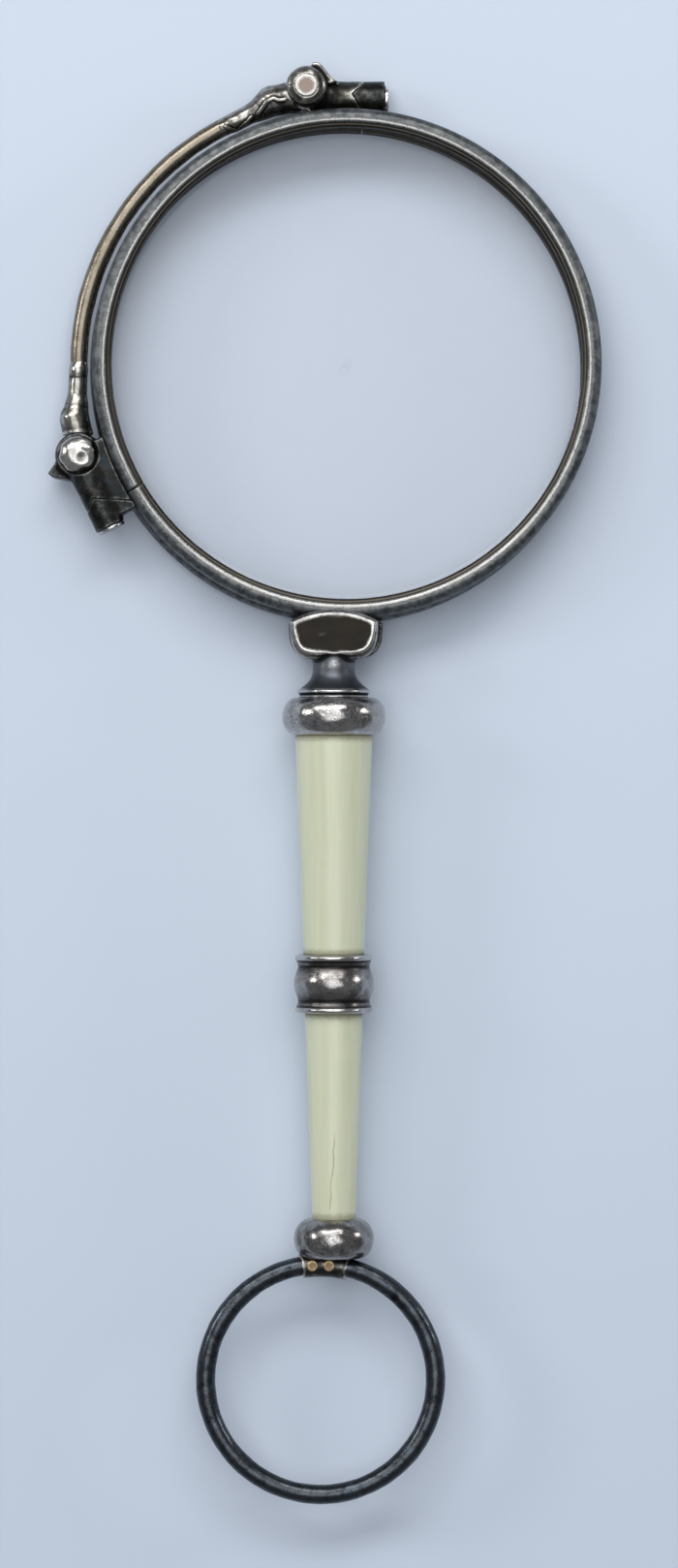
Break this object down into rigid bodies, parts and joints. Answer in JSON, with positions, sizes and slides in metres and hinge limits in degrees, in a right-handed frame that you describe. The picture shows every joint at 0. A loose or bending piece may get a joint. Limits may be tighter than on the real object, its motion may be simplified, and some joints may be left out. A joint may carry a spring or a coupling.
{
  "type": "folding lorgnette",
  "caption": "Folding lorgnette with round sprung rims, a curved bridge, a turned two-part grip and a finger ring on its foot.",
  "frame": {"origin": "under the middle of the folded lorgnette's bounding box, on the surface it lies on", "axes": "+X to the right seen from the front, +Y from the finger ring towards the rims, +Z out of the front, away from the surface it lies on"},
  "size_m": [0.0446, 0.1162, 0.0083],
  "materials": {
    "silver": "worn silver with grey tarnish in the hollows and bright rubbed edges",
    "tarnished_silver": "dark grey-blue tarnished silver, brighter on its edges",
    "polished_silver": "bright polished silver with fine scratches",
    "steel": "dull blued steel",
    "brass": "dull aged brass",
    "grip": "smooth cream, ivory-like, with a soft polish and fine age lines",
    "lens": "clear colourless ground glass"
  },
  "bodies": {
    "handle": {"front_rim": "silver", "front_lens": "lens", "front_hinge_block": "tarnished_silver", "front_closing_barrel": "tarnished_silver", "front_closing_screw": "steel", "lower_hinge_rivet": "polished_silver", "lower_hinge_spring": "steel", "handle_head": "tarnished_silver", "catch_spring": "steel", "upper_bead": "silver", "upper_grip": "grip", "middle_collar": "silver", "lower_grip": "grip", "tang_rod": "steel", "lower_bead": "silver", "finger_ring": "tarnished_silver", "ring_strap": "silver", "ring_rivets": "brass"},
    "bridge": {"bridge_bar": "silver", "upper_bridge_arm": "silver", "lower_bridge_arm": "silver"},
    "free_rim": {"rear_rim": "silver", "rear_lens": "lens", "rear_hinge_block": "silver", "rear_closing_barrel": "tarnished_silver", "rear_closing_screw": "polished_silver", "upper_hinge_rivet": "steel", "upper_hinge_spring": "steel", "rear_lug": "tarnished_silver"},
    "catch": {"catch_pin": "steel"}
  },
  "joints": [
    {"name": "lower_hinge", "type": "hinge", "parent": "handle", "child": "bridge", "pos_m": [-0.01989, 0.02645, 0.00258], "axis": [0, 0, 1], "range_deg": [0, 82]},
    {"name": "upper_hinge", "type": "hinge", "parent": "bridge", "child": "free_rim", "pos_m": [-0.00151, 0.05614, 0.00258], "axis": [0, 0, 1], "range_deg": [0, 90]},
    {"name": "catch_slide", "type": "slide", "parent": "handle", "child": "catch", "axis": [0, 0, 1], "range_m": [0, 0.0003], "stiffness_N_per_m": 20}
  ]
}
